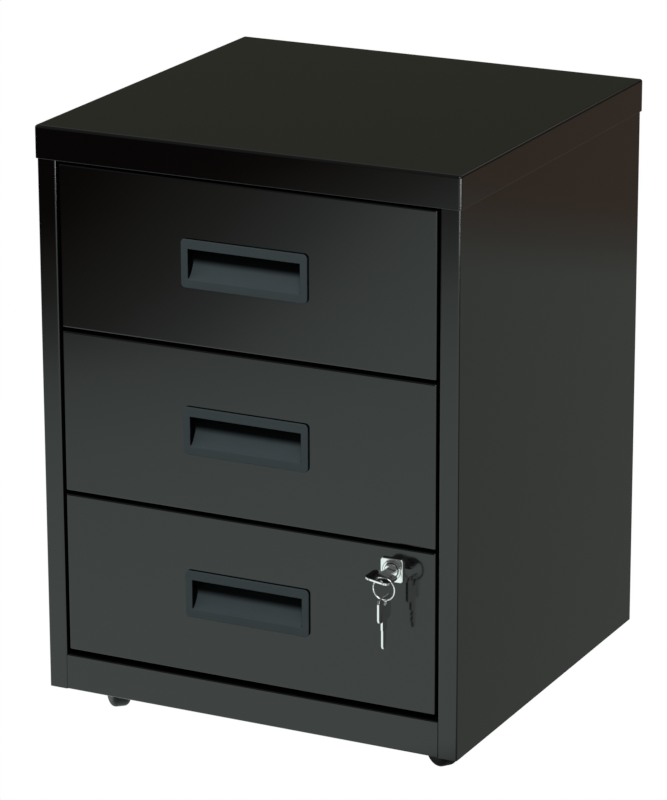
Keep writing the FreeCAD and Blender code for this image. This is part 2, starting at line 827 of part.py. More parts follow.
def make_drawer_tray(level):
    """Fold the tray and weld on the plate that closes the front's pan."""
    body = new_body(f"{DRAWERS[level]}_drawer_tray")
    steel = SIZE["sheet"]
    low = drawer_bottom(level) + SIZE["tray_rise"]
    high = tray_top(level)
    path = [(-TRAY_HALF, high), (-TRAY_HALF, low), (TRAY_HALF, low), (TRAY_HALF, high)]
    bend_sheet(body, "XZ_Plane", PAN_REAR, TRAY_REAR, path, steel)
    half = FRONT_HALF - steel
    plate = rectangle(-half, half, drawer_bottom(level) + steel,
                      drawer_bottom(level) + FRONT_HEIGHT - steel)
    pad(body, "XZ_Plane", PAN_REAR - steel, PAN_REAR, [plate])
    end_wall = rectangle(-TRAY_HALF + steel, TRAY_HALF - steel, low + steel, high)
    pad(body, "XZ_Plane", PAN_REAR, PAN_REAR + steel, [end_wall])
    if level > 0:
        catch_low = hook_low(level) + SIZE["hook_height"] + SIZE["catch_gap"]
        catch = rectangle(TRAY_HALF, TRAY_HALF + SIZE["catch_reach"],
                          catch_low, catch_low + SIZE["catch_height"])
        rear_of_bar = FRONT + SIZE["bar_front"] + SIZE["bar_thickness"] + SIZE["roller_gap"]
        pad(body, "XZ_Plane", rear_of_bar, rear_of_bar + SIZE["bar_thickness"], [catch])
    return keep(body)


def tray_top(level):
    """Return the height of a tray's sides."""
    return drawer_bottom(level) + FRONT_HEIGHT - SIZE["tray_drop"]


def make_drawer_back(level):
    """Fold the tray's back, which stands on the tray's floor."""
    body = new_body(f"{DRAWERS[level]}_drawer_back")
    steel = SIZE["sheet"]
    floor = drawer_bottom(level) + SIZE["tray_rise"] + steel
    half = TRAY_HALF - steel - SIZE["bend"] - SIZE["fit_clearance"]
    path = [(TRAY_REAR - SIZE["tray_back_flange"], floor), (TRAY_REAR, floor),
            (TRAY_REAR, tray_top(level))]
    bend_sheet(body, "YZ_Plane", -half, half, path, steel)
    return keep(body)


def make_finger_pull(level):
    """Mould the recessed pull: a raised rim round a scoop with an undercut at its top."""
    body = new_body(f"{DRAWERS[level]}_drawer_pull")
    places = pull_places(level)
    half, low, high = places["rim"]
    proud = FACE - SIZE["pull_stand"]
    pad(body, "XZ_Plane", proud, FACE, [rectangle(-half, half, low, high)])
    corners = [(across, up) for across in (-half, half) for up in (low, high)]
    fillet(body, SIZE["pull_corner"], at_corners("XZ_Plane", corners))
    fillet(body, SIZE["sheet"], on_plane(1, proud))
    box_half, box_low, box_high = places["box"]
    inner = proud + SIZE["scoop_top_depth"]
    box = rectangle(-box_half, box_half, box_low, box_high)
    pad(body, "XZ_Plane", FACE, inner + SIZE["pull_wall"], [box])
    half, low, high = places["opening"]
    under = high + SIZE["pull_undercut"]
    turn = (proud + SIZE["scoop_depth"], low + SIZE["scoop_rise"])
    recess = [(proud, low), turn, (inner, under), (FACE + SIZE["sheet"], under),
              (FACE + SIZE["sheet"], high), (proud, high)]
    pocket(body, "YZ_Plane", -half, half, [Polygon(recess)])
    fillet(body, SIZE["scoop_radius"], at_corners("YZ_Plane", [turn]))
    return keep(body)


def make_drawer(level):
    """Make one drawer's front, tray, back, pull and running gear."""
    make_drawer_front(level)
    make_drawer_tray(level)
    make_drawer_back(level)
    make_finger_pull(level)
    make_runners(level)


# ---------------------------------------------------------------- lock, lock bar and keys

def make_lock_housing():
    """Cast the lock's housing: a square plate in front, a round barrel behind."""
    body = new_body("lock_housing")
    half = SIZE["lock_square"] / 2
    bore = SIZE["plug_diameter"] / 2 + SIZE["axle_clearance"]
    proud = FACE - SIZE["lock_stand"]
    square = rectangle(LOCK_X - half, LOCK_X + half, LOCK_Z - half, LOCK_Z + half)
    pad(body, "XZ_Plane", proud, FACE, [square])
    corners = [(LOCK_X + across, LOCK_Z + up) for across in (-half, half) for up in (-half, half)]
    fillet(body, SIZE["lock_corner"], at_corners("XZ_Plane", corners))
    fillet(body, SIZE["lock_edge"], on_plane(1, proud))
    barrel = Disc(LOCK_X, LOCK_Z, SIZE["lock_barrel"] / 2)
    pad(body, "XZ_Plane", FACE, FACE + SIZE["lock_length"], [barrel])
    pocket(body, "XZ_Plane", proud, FACE + SIZE["lock_length"], [Disc(LOCK_X, LOCK_Z, bore)])
    return keep(body)


def make_lock_nut():
    """Cut the nut that clamps the housing behind the drawer's front."""
    body = new_body("lock_nut")
    bore = SIZE["lock_barrel"] / 2 + SIZE["axle_clearance"]
    outlines = [hexagon(LOCK_X, LOCK_Z, SIZE["nut_flats"]), Disc(LOCK_X, LOCK_Z, bore)]
    pad(body, "XZ_Plane", FACE_REAR, FACE_REAR + SIZE["nut_thickness"], outlines)
    return keep(body)


TILT = SIZE["key_tilt"]
TILT_COSINE = Size(math.cos(math.radians(TILT.value)), f"cos({TILT.formula} * 1 deg)")
TILT_SINE = Size(math.sin(math.radians(TILT.value)), f"sin({TILT.formula} * 1 deg)")


def place(thing, rotation, base):
    """Turn a sub-part and bind the place of its own origin."""
    thing.Placement = FreeCAD.Placement(FreeCAD.Vector(*[item.value for item in base]), rotation)
    for axis, item in zip("xyz", base):
        bind(thing, f"Placement.Base.{axis}", item)


def tilted():
    """Return the turn of the key and plug about the lock's axis."""
    return FreeCAD.Rotation(FreeCAD.Vector(0, 1, 0), TILT.value)


def make_lock_plug():
    """Turn the plug, cut its keyway and leave a swaged tail for the cam."""
    body = new_body("lock_plug")
    front = SIZE["front_setback"] - SIZE["lock_stand"] - SIZE["plug_stand"]
    shoulder = SIZE["front_setback"] + SIZE["lock_length"] + SIZE["cam_gap"]
    tail_end = shoulder + SIZE["cam_thickness"]
    pad(body, "XZ_Plane", front, shoulder, [Disc(0, 0, SIZE["plug_diameter"] / 2)])
    pad(body, "XZ_Plane", shoulder, tail_end, [Disc(0, 0, SIZE["plug_tail"] / 2)])
    pad(body, "XZ_Plane", tail_end, tail_end + SIZE["tail_head_height"],
        [Disc(0, 0, SIZE["tail_head"] / 2)])
    half = SIZE["blade_width"] / 2 + SIZE["slot_clearance"]
    thick = SIZE["key_thickness"] / 2 + SIZE["slot_clearance"]
    pocket(body, "XZ_Plane", front, SIZE["slot_depth"], [rectangle(-half, half, -thick, thick)])
    place(body, tilted(), (LOCK_X, FRONT, LOCK_Z))
    return keep(body)


def make_lock_cam():
    """Punch the cam, which hangs straight down while the drawers are free."""
    body = new_body("lock_cam")
    half = SIZE["cam_width"] / 2
    rear = CAM_FRONT + SIZE["cam_thickness"]
    arm = rectangle(LOCK_X - half, LOCK_X + half, LOCK_Z - SIZE["cam_length"], LOCK_Z)
    pad(body, "XZ_Plane", CAM_FRONT, rear, [arm])
    pad(body, "XZ_Plane", CAM_FRONT, rear, [Disc(LOCK_X, LOCK_Z, SIZE["cam_hub"] / 2)])
    tip = [(LOCK_X + across, LOCK_Z - SIZE["cam_length"]) for across in (-half, half)]
    fillet(body, SIZE["cam_tip_radius"], at_corners("XZ_Plane", tip))
    pocket(body, "XZ_Plane", CAM_FRONT, rear, [Disc(LOCK_X, LOCK_Z, SIZE["plug_tail"] / 2)])
    return keep(body)


def hook_low(level):
    """Return the lower edge of the lock bar's hook for one drawer."""
    return runner_base(level) + SIZE["hook_rise"]


BAR_FRONT = FRONT + SIZE["bar_front"]
BAR_REAR = BAR_FRONT + SIZE["bar_thickness"]


def make_lock_bar():
    """Cut the bar that the cam lifts, with a hook for each upper drawer and a lifting tab."""
    body = new_body("lock_bar")
    low = LOCK_Z - SIZE["bar_tail"]
    high = hook_low(len(DRAWERS) - 1) + SIZE["hook_height"]
    inner = SIZE["bar_inner"]
    pad(body, "XZ_Plane", BAR_FRONT, BAR_REAR, [rectangle(inner, inner + SIZE["bar_width"], low, high)])
    for level in range(1, len(DRAWERS)):
        hook = rectangle(inner - SIZE["hook_reach"], inner, hook_low(level),
                         hook_low(level) + SIZE["hook_height"])
        pad(body, "XZ_Plane", BAR_FRONT, BAR_REAR, [hook])
    tab_low = LOCK_Z - SIZE["tab_drop"]
    tab_inner = SIZE["tab_inner"]
    tab = rectangle(tab_inner, tab_inner + SIZE["tab_width"], tab_low, tab_low + SIZE["tab_height"])
    pad(body, "XZ_Plane", BAR_FRONT - SIZE["tab_reach"], BAR_REAR, [tab])
    return keep(body)


def make_lock_bar_guides():
    """Bend the two small hats that keep the lock bar upright on the right side panel."""
    body = new_body("lock_bar_guides", several=True)
    steel = SIZE["sheet"]
    play = SIZE["bar_play"]
    crown = SIZE["bar_inner"] - play - steel
    front = BAR_FRONT - play - steel
    rear = BAR_REAR + play + steel
    corners = hat_outline(crown, front, rear, SIZE["upright_flange"], SIZE["guide_flange"])
    between = (hook_low(1) + hook_low(2)) / 2
    for low in (LOCK_Z - SIZE["bar_tail"] + SIZE["tab_drop"], between):
        pad(body, "XY_Plane", low, low + SIZE["guide_height"], [Polygon(corners)])
    return keep(body)


def cut_key(label):
    """Cut a key whose blade points along +Y and whose bow lies in the XY plane."""
    body = new_body(label)
    bow = SIZE["bow_width"] / 2
    outer = -SIZE["key_reach"]
    neck = outer + SIZE["bow_length"]
    shoulder = -SIZE["shoulder_end"]
    tip = shoulder + SIZE["blade_length"]
    thick = SIZE["key_thickness"] / 2
    blade = SIZE["blade_width"] / 2
    pitch = SIZE["tooth_pitch"]
    points = [(-bow, outer), (bow, outer), (bow, neck), (SIZE["shoulder_width"] / 2, neck),
              (SIZE["shoulder_width"] / 2, shoulder), (blade, shoulder)]
    for tooth in range(KEY_TEETH):
        depth = SIZE["tooth_height"] if tooth % 2 else SIZE["cut_height"]
        points.append((depth, shoulder + pitch * (tooth + 1)))
    points += [(0, tip), (-SIZE["tip_width"], tip), (-blade, tip - pitch), (-blade, shoulder),
               (-SIZE["shoulder_width"] / 2, shoulder), (-SIZE["shoulder_width"] / 2, neck),
               (-bow, neck)]
    pad(body, "XY_Plane", -thick, thick, [Polygon(points)])
    corners = [(as_size(across), up) for across in (-bow, bow) for up in (outer, neck)]
    fillet(body, SIZE["bow_corner"], at_corners("XY_Plane", corners))
    hole = Disc(0, outer + SIZE["key_hole_inset"], SIZE["key_hole"] / 2)
    pocket(body, "XY_Plane", -thick, thick, [hole])
    return body


RING_Y = FRONT - SIZE["key_reach"] + SIZE["key_hole_inset"]
RING_X = LOCK_X + SIZE["ring_offset"] * TILT_COSINE - SIZE["ring_drop"] * TILT_SINE
RING_Z = LOCK_Z - SIZE["ring_offset"] * TILT_SINE - SIZE["ring_drop"] * TILT_COSINE


def make_keys():
    """Make the key in the lock, its ring and the spare key that hangs on the ring."""
    key = cut_key("key")
    place(key, tilted(), (LOCK_X, FRONT, LOCK_Z))
    keep(key)
    ring = DOCUMENT.addObject("Part::Torus", "key_ring")
    ring.Label = "key_ring"
    bind(ring, "Radius1", SIZE["ring_radius"])
    bind(ring, "Radius2", SIZE["ring_wire"] / 2)
    place(ring, FreeCAD.Rotation(FreeCAD.Vector(1, 0, 0), 90), (RING_X, RING_Y, RING_Z))
    keep(ring)
    spare = cut_key("spare_key")
    drop = (SIZE["key_hole"] - SIZE["ring_wire"]) / 2 - SIZE["head_gap"]
    hole_height = RING_Z - SIZE["ring_radius"] - drop
    hole_inside = SIZE["key_reach"] - SIZE["key_hole_inset"]
    hanging = FreeCAD.Rotation(FreeCAD.Vector(0, 1, 0), FreeCAD.Vector(0, 0, -1),
                               FreeCAD.Vector(-1, 0, 0))
    place(spare, hanging, (RING_X, RING_Y, hole_height - hole_inside))
    keep(spare)


# ---------------------------------------------------------------- casters

def caster_pivot(across, along):
    """Return the pivot of one caster from the signs of its corner."""
    inset = SIZE["caster_inset"]
    pivot_y = FRONT + inset if along < 0 else REAR - inset
    return (HALF_WIDTH - inset) * across, pivot_y


def caster_screw_places():
    """Return the places of all the plate screws."""
    places = []
    reach = SIZE["plate_hole_pitch"] / 2
    for across, along, _ in CASTER_HEADINGS.values():
        pivot_x, pivot_y = caster_pivot(across, along)
        for shift_x in (-reach, reach):
            for shift_y in (-reach, reach):
                places.append((pivot_x + shift_x, pivot_y + shift_y))
    return places


PLATE_TOP = BASE_TOP - SIZE["sheet"]
PLATE_BOTTOM = PLATE_TOP - SIZE["plate_steel"]
RACE_BOTTOM = PLATE_BOTTOM - SIZE["race_depth"]
CROWN_TOP = RACE_BOTTOM - SIZE["race_gap"]
CROWN_BOTTOM = CROWN_TOP - SIZE["fork_steel"]
WHEEL_RADIUS = SIZE["wheel_diameter"] / 2


def make_caster_plates():
    """Press the four caster plates, each with its race and its riveted kingpin."""
    body = new_body("caster_plates", several=True)
    half = SIZE["plate_width"] / 2
    hole = SIZE["screw_diameter"] / 2 + SIZE["fit_clearance"]
    places = caster_screw_places()
    for number, (across, along, _) in enumerate(CASTER_HEADINGS.values()):
        x, y = caster_pivot(across, along)
        holes = [Disc(*hole_place, hole) for hole_place in places[number * 4:number * 4 + 4]]
        plate = [rectangle(x - half, x + half, y - half, y + half)] + holes
        pad(body, "XY_Plane", PLATE_BOTTOM, PLATE_TOP, plate)
        pad(body, "XY_Plane", RACE_BOTTOM, PLATE_BOTTOM, [Disc(x, y, SIZE["race_diameter"] / 2)])
        pin_end = CROWN_BOTTOM - SIZE["race_gap"]
        pad(body, "XY_Plane", pin_end, RACE_BOTTOM, [Disc(x, y, SIZE["kingpin"] / 2)])
        pad(body, "XY_Plane", pin_end - SIZE["kingpin_head_height"], pin_end,
            [Disc(x, y, SIZE["kingpin_head"] / 2)])
    return keep(body)


def make_caster_screws():
    """Make the plate screws with their nuts, as one group."""
    body = new_body("caster_screws", several=True)
    places = caster_screw_places()
    head = [Disc(*spot, SIZE["screw_head"] / 2) for spot in places]
    shank = [Disc(*spot, SIZE["screw_diameter"] / 2) for spot in places]
    nut = [hexagon(*spot, SIZE["nut_across"]) for spot in places]
    nut_top = BASE_TOP + SIZE["nut_height"]
    pad(body, "XY_Plane", PLATE_BOTTOM - SIZE["screw_head_height"], PLATE_BOTTOM, head)
    pad(body, "XY_Plane", PLATE_BOTTOM, BASE_TOP, shank)
    pad(body, "XY_Plane", BASE_TOP, nut_top, nut)
    return keep(body)


def make_caster(corner, across, along, heading):
    """Make one fork with its axle, and its wheel, turned to the way they trail."""
    trail = SIZE["caster_trail"]
    inner = SIZE["wheel_width"] / 2 + SIZE["fork_gap"]
    outer = inner + SIZE["fork_steel"]
    axle_radius = SIZE["wheel_axle"] / 2
    frame = new_body(f"{corner}_caster_frame")
    pad(frame, "XY_Plane", CROWN_BOTTOM, CROWN_TOP, [Disc(0, 0, SIZE["fork_crown"] / 2)])
    reach = SIZE["fork_arm"]
    eye = SIZE["fork_eye"]
    arm = [(-reach, CROWN_TOP), (reach, CROWN_TOP), (trail + eye, SIZE["eye_top"]),
           (trail + eye, SIZE["eye_bottom"]), (trail - eye, SIZE["eye_bottom"]),
           (-axle_radius, SIZE["arm_throat"]), (-reach, CROWN_BOTTOM)]
    pad(frame, "XZ_Plane", inner, outer, [Polygon(arm)])
    pad(frame, "XZ_Plane", -outer, -inner, [Polygon(arm)])
    pin_hole = SIZE["kingpin"] / 2 + SIZE["axle_clearance"]
    pocket(frame, "XY_Plane", CROWN_BOTTOM, CROWN_TOP, [Disc(0, 0, pin_hole)])
    pocket(frame, "XZ_Plane", -outer, outer, [Disc(trail, WHEEL_RADIUS, axle_radius)])
    axle = new_body(f"{corner}_caster_axle")
    rivet = outer + SIZE["kingpin_head_height"]
    pad(axle, "XZ_Plane", -rivet, rivet, [Disc(trail, WHEEL_RADIUS, axle_radius)])
    fork = DOCUMENT.addObject("Part::Compound", f"{corner}_caster_fork")
    fork.Label = f"{corner}_caster_fork"
    fork.Links = [frame, axle]
    wheel = new_body(f"{corner}_caster_wheel")
    bore = axle_radius + SIZE["axle_clearance"]
    half = SIZE["wheel_width"] / 2
    pad(wheel, "XZ_Plane", -half, half, [Disc(trail, WHEEL_RADIUS, WHEEL_RADIUS)])
    fillet(wheel, SIZE["wheel_crown"], lambda edge: True)
    pocket(wheel, "XZ_Plane", -half, half, [Disc(trail, WHEEL_RADIUS, bore)])
    turn = FreeCAD.Rotation(FreeCAD.Vector(0, 0, 1), heading)
    pivot_x, pivot_y = caster_pivot(across, along)
    for thing in (fork, wheel):
        place(thing, turn, (pivot_x, pivot_y, as_size(0)))
        keep(thing)


# ---------------------------------------------------------------- the whole cabinet

def make_cabinet():
    """Make every sub-part."""
    for name, side in SIDES.items():
        make_side_panel(name, side)
        make_uprights(name, side)
    make_back_panel()
    make_base_panel()
    make_front_plinth_rail()
    make_top_front_rail()
    make_top_lid()
    make_lid_screws()
    make_back_rivets()
    for level in range(len(DRAWERS)):
        make_drawer(level)
    make_lock_housing()
    make_lock_nut()
    make_lock_plug()
    make_lock_cam()
    make_lock_bar()
    make_lock_bar_guides()
    make_keys()
    make_caster_plates()
    make_caster_screws()
    for corner, (across, along, heading) in CASTER_HEADINGS.items():
        make_caster(corner, across, along, heading)


def check_document():
    """Stop if any object failed, any pocket cut nothing or any sub-part has no sound shape."""
    DOCUMENT.recompute()
    for thing in DOCUMENT.Objects:
        if "Invalid" in thing.State or "Error" in thing.State:
            raise RuntimeError(f"{thing.Label} of {thing.getParentGeoFeatureGroup()} failed: {thing.State}")
        if thing.TypeId == "PartDesign::Pocket":
            if thing.BaseFeature.Shape.Volume - thing.Shape.Volume < TOUCH:
                raise RuntimeError(f"{thing.Label} cuts nothing")
    for thing in NODES:
        if thing.Shape.isNull() or not thing.Shape.isValid() or not thing.Shape.Solids:
            raise RuntimeError(f"{thing.Label} has no sound shape")


def write_parts():
    """Write each sub-part to its own file."""
    os.makedirs("parts", exist_ok=True)
    for thing in NODES:
        thing.Shape.exportStep(f"parts/{thing.Label}.step")
    print(f"{len(NODES)} sub-parts written")


make_cabinet()
check_document()
write_parts()
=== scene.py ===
"""Looks of the rolling pedestal cabinet: finishes, refined sheet-metal edges, fasteners and light."""
import json
import logging
import math
from dataclasses import dataclass
from enum import Enum
from typing import Any, Sequence

import bmesh
import bpy
from mathutils import Euler, Matrix, Vector


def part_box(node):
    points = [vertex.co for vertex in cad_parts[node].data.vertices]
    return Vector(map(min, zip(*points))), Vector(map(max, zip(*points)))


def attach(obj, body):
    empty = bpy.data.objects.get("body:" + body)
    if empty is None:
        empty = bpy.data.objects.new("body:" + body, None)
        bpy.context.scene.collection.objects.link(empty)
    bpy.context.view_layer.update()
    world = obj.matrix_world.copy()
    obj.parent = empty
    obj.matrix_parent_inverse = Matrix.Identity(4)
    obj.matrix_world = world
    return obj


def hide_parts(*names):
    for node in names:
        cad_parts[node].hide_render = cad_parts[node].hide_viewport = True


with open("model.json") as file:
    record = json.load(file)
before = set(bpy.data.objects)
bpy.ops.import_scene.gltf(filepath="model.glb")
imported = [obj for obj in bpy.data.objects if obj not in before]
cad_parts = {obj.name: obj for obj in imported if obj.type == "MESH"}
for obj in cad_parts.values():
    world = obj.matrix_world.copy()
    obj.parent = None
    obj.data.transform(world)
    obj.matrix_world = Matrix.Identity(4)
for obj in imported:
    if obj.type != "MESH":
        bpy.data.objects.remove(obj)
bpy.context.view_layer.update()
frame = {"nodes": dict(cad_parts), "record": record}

LOG = logging.getLogger("pedestal")
MILLIMETRE = 0.001
WELD = 0.002 * MILLIMETRE
Colour = tuple[float, float, float]


class Slot(Enum):
    """The record's material slots."""

    PAINT = "black_paint"
    PULL = "pull_plastic"
    ZINC = "zinc_plated"
    NICKEL = "bright_nickel"
    NYLON = "roller_nylon"
    CASTER = "caster_black"


# ---------------------------------------------------------------- shader graphs

class Wire:
    """A shader socket that arithmetic can be written with."""

    def __init__(self, graph: "Graph", socket: bpy.types.NodeSocket) -> None:
        """Keep the graph that the socket belongs to."""
        self.graph = graph
        self.socket = socket

    def _math(self, operation: str, first: "Wire | float", second: "Wire | float") -> "Wire":
        """Add one Math node.

        Args:
            operation: The Math node's operation.
            first: Its first value.
            second: Its second value.

        Returns:
            The node's result.
        """
        settings = {"operation": operation}
        node = self.graph.node("ShaderNodeMath", settings, {0: first, 1: second})
        return Wire(self.graph, node.outputs[0])

    def __add__(self, other: "Wire | float") -> "Wire":
        """Add."""
        return self._math("ADD", self, other)

    __radd__ = __add__

    def __mul__(self, other: "Wire | float") -> "Wire":
        """Multiply."""
        return self._math("MULTIPLY", self, other)

    __rmul__ = __mul__

    def __sub__(self, other: "Wire | float") -> "Wire":
        """Subtract."""
        return self._math("SUBTRACT", self, other)

    def __rsub__(self, other: float) -> "Wire":
        """Subtract from a number."""
        return self._math("SUBTRACT", other, self)

    def __pow__(self, power: float) -> "Wire":
        """Raise to a power."""
        return self._math("POWER", self, power)

    def __mod__(self, step: float) -> "Wire":
        """Return what is left over after whole steps, never negative."""
        return self._math("FLOORED_MODULO", self, step)

    def __abs__(self) -> "Wire":
        """Drop the sign."""
        return self._math("ABSOLUTE", self, 0.0)


class Graph:
    """The node tree of one material or of the world."""

    def __init__(self, owner: bpy.types.Material | bpy.types.World) -> None:
        """Empty the owner's tree."""
        owner.use_nodes = True
        self.tree = owner.node_tree
        self.tree.nodes.clear()

    def node(self, kind: str, settings: dict[str, Any] | None = None,
             inputs: dict[str | int, Any] | None = None) -> bpy.types.Node:
        """Make any node.

        Args:
            kind: The node's type.
            settings: Its properties, with "stops" for a ramp's places and colours.
            inputs: Values or wires for its sockets, by name or number.

        Returns:
            The node.
        """
        made = self.tree.nodes.new(kind)
        for name, value in (settings or {}).items():
            if name == "stops":
                self._set_stops(made.color_ramp, value)
            else:
                setattr(made, name, value)
        for key, value in (inputs or {}).items():
            if isinstance(value, Wire):
                self.tree.links.new(value.socket, made.inputs[key])
            else:
                made.inputs[key].default_value = value
        return made

    @staticmethod
    def _set_stops(ramp: bpy.types.ColorRamp, stops: Sequence[tuple[float, Colour]]) -> None:
        """Give a ramp its stops.

        Args:
            ramp: The ramp.
            stops: Places from 0 to 1 with their colours.
        """
        while len(ramp.elements) < len(stops):
            ramp.elements.new(1.0)
        for element, (place, colour) in zip(ramp.elements, stops):
            element.position = place
            element.color = (*colour, 1.0)

    def out(self, kind: str, settings: dict[str, Any] | None = None,
            inputs: dict[str | int, Any] | None = None, result: str | int = 0) -> Wire:
        """Make a node and return one of its results.

        Args:
            kind: The node's type.
            settings: Its properties.
            inputs: Values or wires for its sockets.
            result: The output's name or number.

        Returns:
            The chosen output.
        """
        return Wire(self, self.node(kind, settings, inputs).outputs[result])

    def place(self, stretch: tuple[float, float, float] = (1.0, 1.0, 1.0)) -> Wire:
        """Return object coordinates, stretched along each axis.

        Args:
            stretch: The scale along X, Y and Z.

        Returns:
            The vector's wire.
        """
        coordinates = self.out("ShaderNodeTexCoord", result="Object")
        return self.out("ShaderNodeMapping", inputs={"Vector": coordinates, "Scale": stretch})

    def split(self, vector: Wire) -> tuple[Wire, Wire, Wire]:
        """Return a vector's X, Y and Z."""
        parts = self.node("ShaderNodeSeparateXYZ", inputs={0: vector})
        return tuple(Wire(self, parts.outputs[axis]) for axis in range(3))

    def noise(self, scale: float, detail: float = 3.0,
              stretch: tuple[float, float, float] = (1.0, 1.0, 1.0)) -> Wire:
        """Return a noise between 0 and 1.

        Args:
            scale: Its size, in waves to the metre.
            detail: Its finer layers.
            stretch: Its stretch along each axis.

        Returns:
            The noise's wire.
        """
        inputs = {"Vector": self.place(stretch), "Scale": scale, "Detail": detail}
        return self.out("ShaderNodeTexNoise", inputs=inputs)

    def mix_colour(self, factor: Wire, low: Colour | None, high: Colour,
                   low_wire: Wire | None = None) -> Wire:
        """Blend two colours.

        Args:
            factor: How much of the second colour.
            low: The first colour, where it is uniform.
            high: The second colour.
            low_wire: The first colour, where it varies.

        Returns:
            The blended colour.
        """
        settings = {"data_type": "RGBA"}
        inputs = {0: factor, 6: low_wire or (*low, 1.0), 7: (*high, 1.0)}
        return self.out("ShaderNodeMix", settings, inputs, result=2)

    def bump(self, height: Wire, depth: float, under: Wire | None = None) -> Wire:
        """Return normals bumped by a height.

        Args:
            height: The height, between 0 and 1.
            depth: What a height of 1 stands for, in metres.
            under: Normals that are bumped already.

        Returns:
            The normals.
        """
        inputs: dict[str | int, Any] = {"Height": height, "Distance": depth, "Strength": 1.0}
        if under is not None:
            inputs["Normal"] = under
        return self.out("ShaderNodeBump", inputs=inputs)


@dataclass(frozen=True)
class Finish:
    """A surface finish: what every finish has, and how its shader is put together."""

    name: str
    base: Colour
    shade: Colour
    rough: float
    rough_spread: float
    metal: float = 0.0
    coat: float = 0.0
    mottle_scale: float = 30.0
    grain_scale: float = 1500.0
    grain_depth: float = 0.00001
    wave_scale: float = 0.0
    wave_depth: float = 0.0
    stretch: tuple[float, float, float] = (1.0, 1.0, 1.0)
    specular: float = 0.5

    def relief(self, graph: Graph, normal: Wire) -> Wire:
        """Add the finish's own relief to its normals; a plain finish has none.

        Args:
            graph: The material's graph.
            normal: The normals so far.

        Returns:
            The normals to use.
        """
        return normal

    def tint(self, graph: Graph, colour: Wire) -> Wire:
        """Change the finish's colour from place to place; a plain finish keeps it.

        Args:
            graph: The material's graph.
            colour: The colour so far.

        Returns:
            The colour to use.
        """
        return colour

    def material(self) -> bpy.types.Material:
        """Build the finish once and return its material."""
        made = bpy.data.materials.get(self.name)
        if made is not None:
            return made
        made = bpy.data.materials.new(self.name)
        graph = Graph(made)
        mottle = graph.noise(self.mottle_scale, 4.0, self.stretch)
        grain = graph.noise(self.grain_scale, 2.0, self.stretch)
        colour = graph.mix_colour(mottle, self.base, self.shade)
        roughness = mottle * self.rough_spread + (self.rough - self.rough_spread / 2)
        normal = graph.bump(grain, self.grain_depth)
        if self.wave_scale:
            normal = graph.bump(graph.noise(self.wave_scale, 1.0), self.wave_depth, normal)
        normal = self.relief(graph, normal)
        inputs = {
            "Base Color": self.tint(graph, colour),
            "Roughness": roughness,
            "Metallic": self.metal,
            "Coat Weight": self.coat,
            "Specular IOR Level": self.specular,
            "Normal": normal,
        }
        surface = graph.out("ShaderNodeBsdfPrincipled", inputs=inputs)
        graph.node("ShaderNodeOutputMaterial", inputs={"Surface": surface})
        return made


@dataclass(frozen=True)
class TwistedPanel(Finish):
    """Enamel on a panel that is slightly twisted and bowed, as a folded front is."""

    middle: float = 0.43
    lean: float = 0.012
    twist: float = 0.083
    bow: float = 0.125

    def relief(self, graph: Graph, normal: Wire) -> Wire:
        """Lean the normals as the panel's shallow twist and bow do.

        Args:
            graph: The material's graph.
            normal: The normals so far.

        Returns:
            The leaning normals.
        """
        across, _, rise = graph.split(graph.place())
        rise = rise - self.middle
        height = rise * self.lean + across * rise * self.twist + rise * rise * self.bow
        return graph.bump(height, 1.0, normal)


@dataclass(frozen=True)
class PullMouldingPaintedShade(Finish):
    """The pull's plastic, with painted shade in its undercut and on its inner end walls, and a painted
    shade line along the seam where its rim meets the front.
    """

    first_middle: float = 0.13122
    pitch: float = 0.14923
    seam: float = -0.1744
    seam_softness: float = 0.0003
    half_width: float = 0.0523
    half_opening: float = 0.0165
    lit_below: float = -0.0035
    dark_above: float = 0.003
    # painted shade: the near-black colour painted where the undercut, end walls and rim seam fall in
    # shade
    painted_shade_colour: Colour = (0.0015, 0.002, 0.0024)

    @staticmethod
    def _between(graph: Graph, value: Wire, low: float, high: float) -> Wire:
        """Return 0 below low, 1 above high and a smooth step between them."""
        settings = {"interpolation_type": "SMOOTHSTEP"}
        return graph.out("ShaderNodeMapRange", settings, {0: value, 1: low, 2: high})

    def tint(self, graph: Graph, colour: Wire) -> Wire:
        """Paint shade into the undercut, the inner end walls and the seam behind the rim.

        Args:
            graph: The material's graph.
            colour: The colour so far.

        Returns:
            The colour with its painted shade.
        """
        across, depth, rise = graph.split(graph.place())
        start = self.first_middle - self.pitch / 2
        local = (rise - start) % self.pitch - self.pitch / 2
        width, height = abs(across), abs(local)
        ends = self._between(graph, width, self.half_width, self.half_width + self.seam_softness)
        tall = self._between(graph, height, self.half_opening, self.half_opening + self.seam_softness)
        outside = ends + tall - ends * tall
        behind = self._between(graph, depth, self.seam, self.seam + self.seam_softness)
        undercut = self._between(graph, local, self.lit_below, self.dark_above)
        # painted shade: this darkening stands in for the shadow under the top rim, in the end walls and
        # behind the rim
        painted_shade = behind * (outside + undercut * (1.0 - outside))
        return graph.mix_colour(painted_shade, None, self.painted_shade_colour, low_wire=colour)


@dataclass(frozen=True)
class TurnedNickel(Finish):
    """Nickel with fine turned grooves round the lock's plug."""

    centre: tuple[float, float] = (0.1391, 0.18408)
    grooves: tuple[tuple[float, float], ...] = ((0.0064, 0.0005), (0.0084, 0.0003))
    groove_colour: Colour = (0.10, 0.10, 0.10)

    def tint(self, graph: Graph, colour: Wire) -> Wire:
        """Darken the turned grooves.

        Args:
            graph: The material's graph.
            colour: The colour so far.

        Returns:
            The colour with its grooves.
        """
        across, _, rise = graph.split(graph.place())
        across, rise = across - self.centre[0], rise - self.centre[1]
        radius = (across * across + rise * rise) ** 0.5
        for place, half in self.grooves:
            edges = {0: abs(radius - place), 1: half, 2: half * 0.5}
            inside = graph.out("ShaderNodeMapRange", inputs=edges)
            colour = graph.mix_colour(inside, None, self.groove_colour, low_wire=colour)
        return colour


